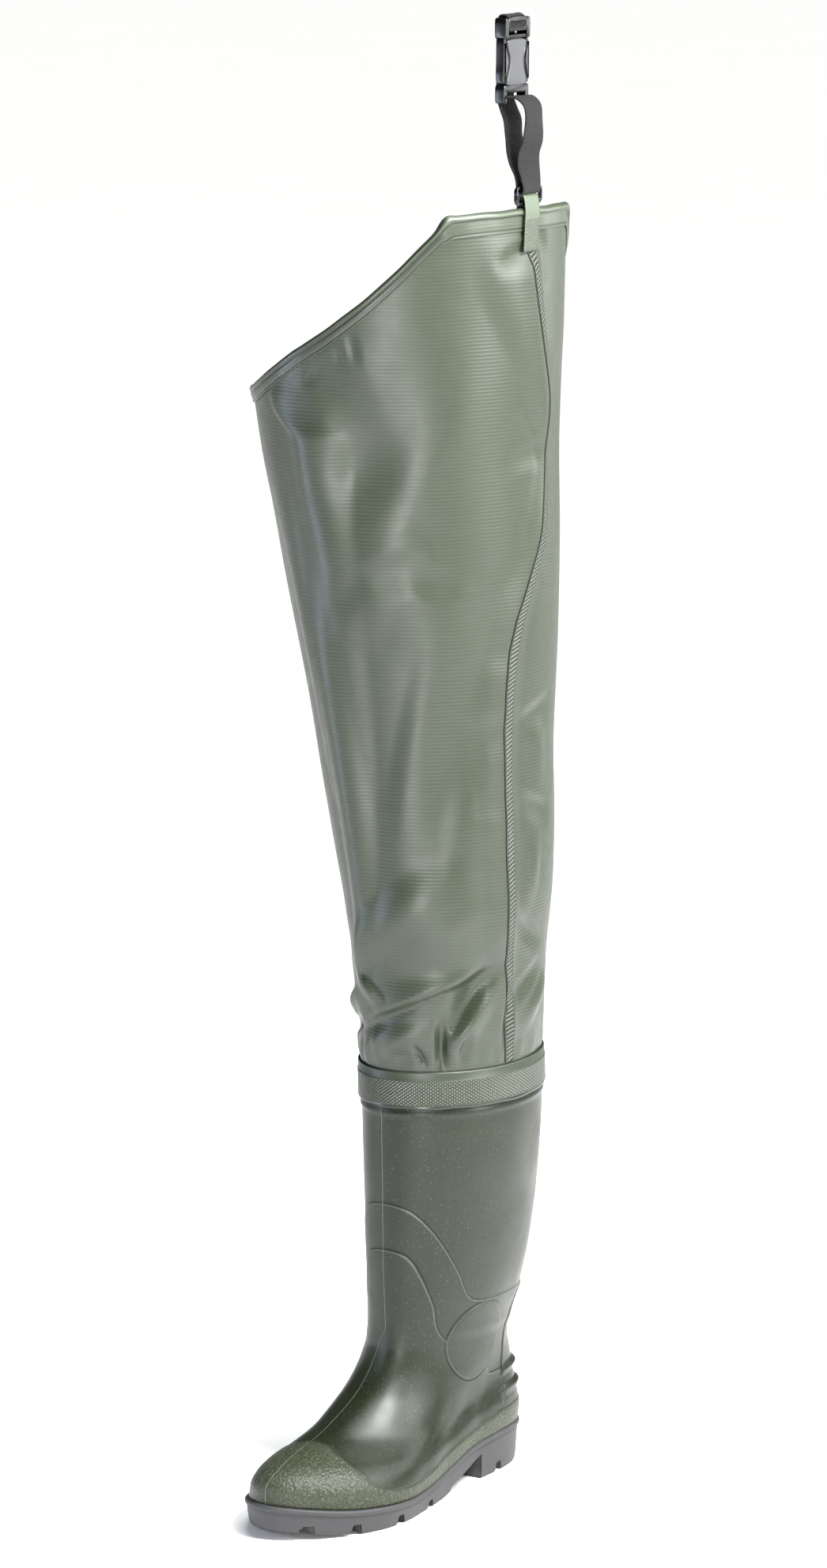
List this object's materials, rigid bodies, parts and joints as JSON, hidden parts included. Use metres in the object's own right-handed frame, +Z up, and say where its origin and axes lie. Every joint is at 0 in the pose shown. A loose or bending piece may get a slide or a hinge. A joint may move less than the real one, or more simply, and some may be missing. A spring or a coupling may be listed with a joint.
{
  "type": "hip wader",
  "caption": "Left hip wader: lugged sole, moulded ankle boot with toe cap, welded fabric leg with a slanted collar, and a belt strap with a fastened buckle.",
  "frame": {"origin": "on the floor in the middle of the heel's flat tread, below the leg", "axes": "+Z up along the leg, -Y towards the toe, +X towards the outer side of the left leg"},
  "size_m": [0.2396, 0.3343, 1.1657],
  "materials": {
    "sole_rubber": "matte dark grey moulded rubber",
    "boot_rubber": "satin dark olive moulded rubber, stippled on toe cap and foxing",
    "insole_felt": "grey-brown felt",
    "coated_fabric": "satin sage green coated nylon with fine ribs",
    "band_rubber": "knurled olive rubber band",
    "ring_metal": "dark plated metal",
    "webbing": "black ribbed webbing",
    "buckle_grey": "matte grey plastic",
    "buckle_black": "glossy black plastic"
  },
  "bodies": {
    "root": {"outsole": "sole_rubber", "boot": "boot_rubber", "insole": "insole_felt", "leg": "coated_fabric", "weld_band": "band_rubber", "collar_hem": "coated_fabric", "seam_tape": "coated_fabric", "belt_loop": "coated_fabric", "ring": "ring_metal", "strap": "webbing", "buckle_socket": "buckle_grey", "buckle_tongue": "buckle_black"}
  },
  "joints": []
}
